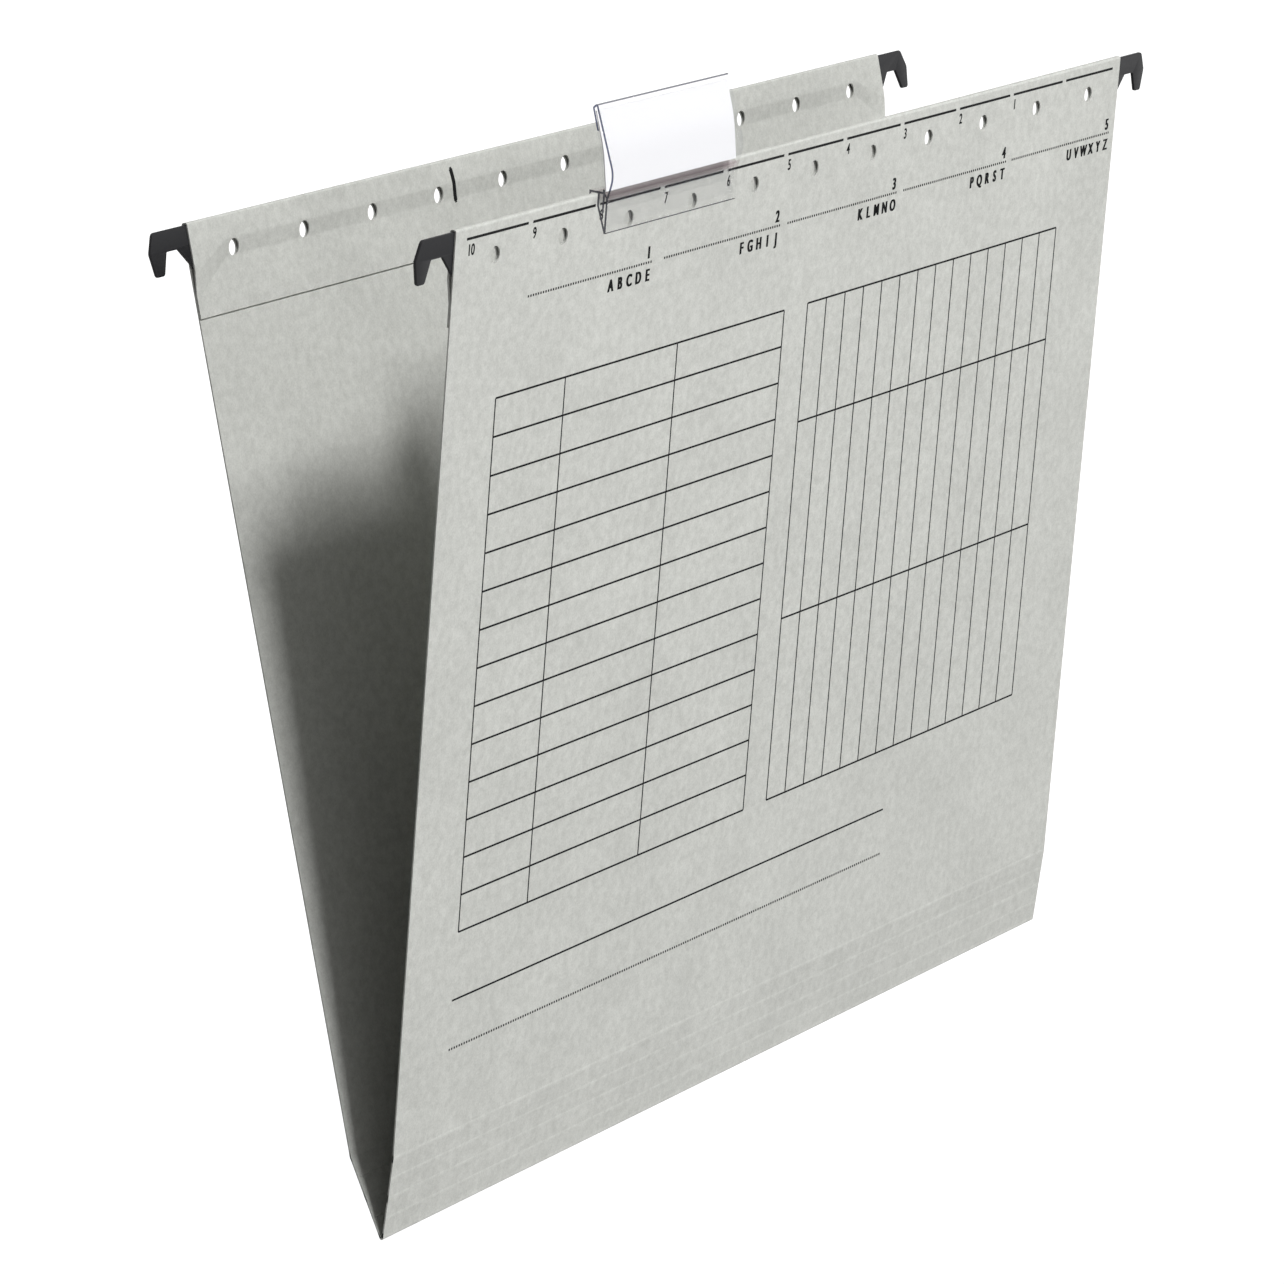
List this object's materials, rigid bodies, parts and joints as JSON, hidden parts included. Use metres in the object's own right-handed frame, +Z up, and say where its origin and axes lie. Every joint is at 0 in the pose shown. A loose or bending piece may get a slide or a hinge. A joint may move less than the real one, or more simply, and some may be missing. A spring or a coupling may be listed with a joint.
{
  "type": "hanging file folder",
  "caption": "V-shaped hanging file folder of grey card with a scored base, glued hems over flat steel rails with hooked ends, and a clear clip-on tab with a paper label.",
  "frame": {"origin": "midway between the four hook seats, on the line from which the folder hangs", "axes": "+X along the rails to the right as seen from the printed front, -Y out of the printed front, +Z up"},
  "size_m": [0.3478, 0.0798, 0.2575],
  "materials": {
    "grey_card": "matt recycled card",
    "black_steel": "satin black lacquer",
    "clear_plastic": "clear extruded",
    "white_paper": "smooth white",
    "glue": "dried glue"
  },
  "bodies": {
    "back_half": {"back_leaf": "grey_card", "back_hem_glue": "glue", "back_rail": "black_steel"},
    "back_step": {"back_step_strip": "grey_card"},
    "back_base": {"back_base_strip": "grey_card"},
    "front_base": {"front_base_strip": "grey_card"},
    "front_step": {"front_step_strip": "grey_card"},
    "front_half": {"front_leaf": "grey_card", "front_hem_glue": "glue", "front_rail": "black_steel"},
    "tab": {"tab_sleeve": "clear_plastic"},
    "label": {"tab_label": "white_paper"}
  },
  "joints": [
    {"name": "back_step_crease", "type": "hinge", "parent": "back_half", "child": "back_step", "pos_m": [0, 0.00834, -0.2127], "axis": [-1, 0, 0], "range_deg": [-12.5, 15]},
    {"name": "back_base_crease", "type": "hinge", "parent": "back_step", "child": "back_base", "pos_m": [0, 0.00525, -0.22222], "axis": [-1, 0, 0], "range_deg": [-90, 15]},
    {"name": "bottom_fold", "type": "hinge", "parent": "back_base", "child": "front_base", "pos_m": [0, 0.00135, -0.23144], "axis": [1, 0, 0], "range_deg": [-15.15, 147.05]},
    {"name": "front_base_crease", "type": "hinge", "parent": "front_base", "child": "front_step", "pos_m": [0, -0.00137, -0.22181], "axis": [-1, 0, 0], "range_deg": [-90, 15]},
    {"name": "front_step_crease", "type": "hinge", "parent": "front_step", "child": "front_half", "pos_m": [0, -0.00327, -0.21198], "axis": [-1, 0, 0], "range_deg": [-4, 15]},
    {"name": "tab_pull", "type": "slide", "parent": "front_half", "child": "tab", "axis": [0, -0.1549, 0.9879], "range_m": [0, 0.015]},
    {"name": "label_slide", "type": "slide", "parent": "tab", "child": "label", "axis": [1, 0, 0], "range_m": [-0.058, 0.058]}
  ]
}
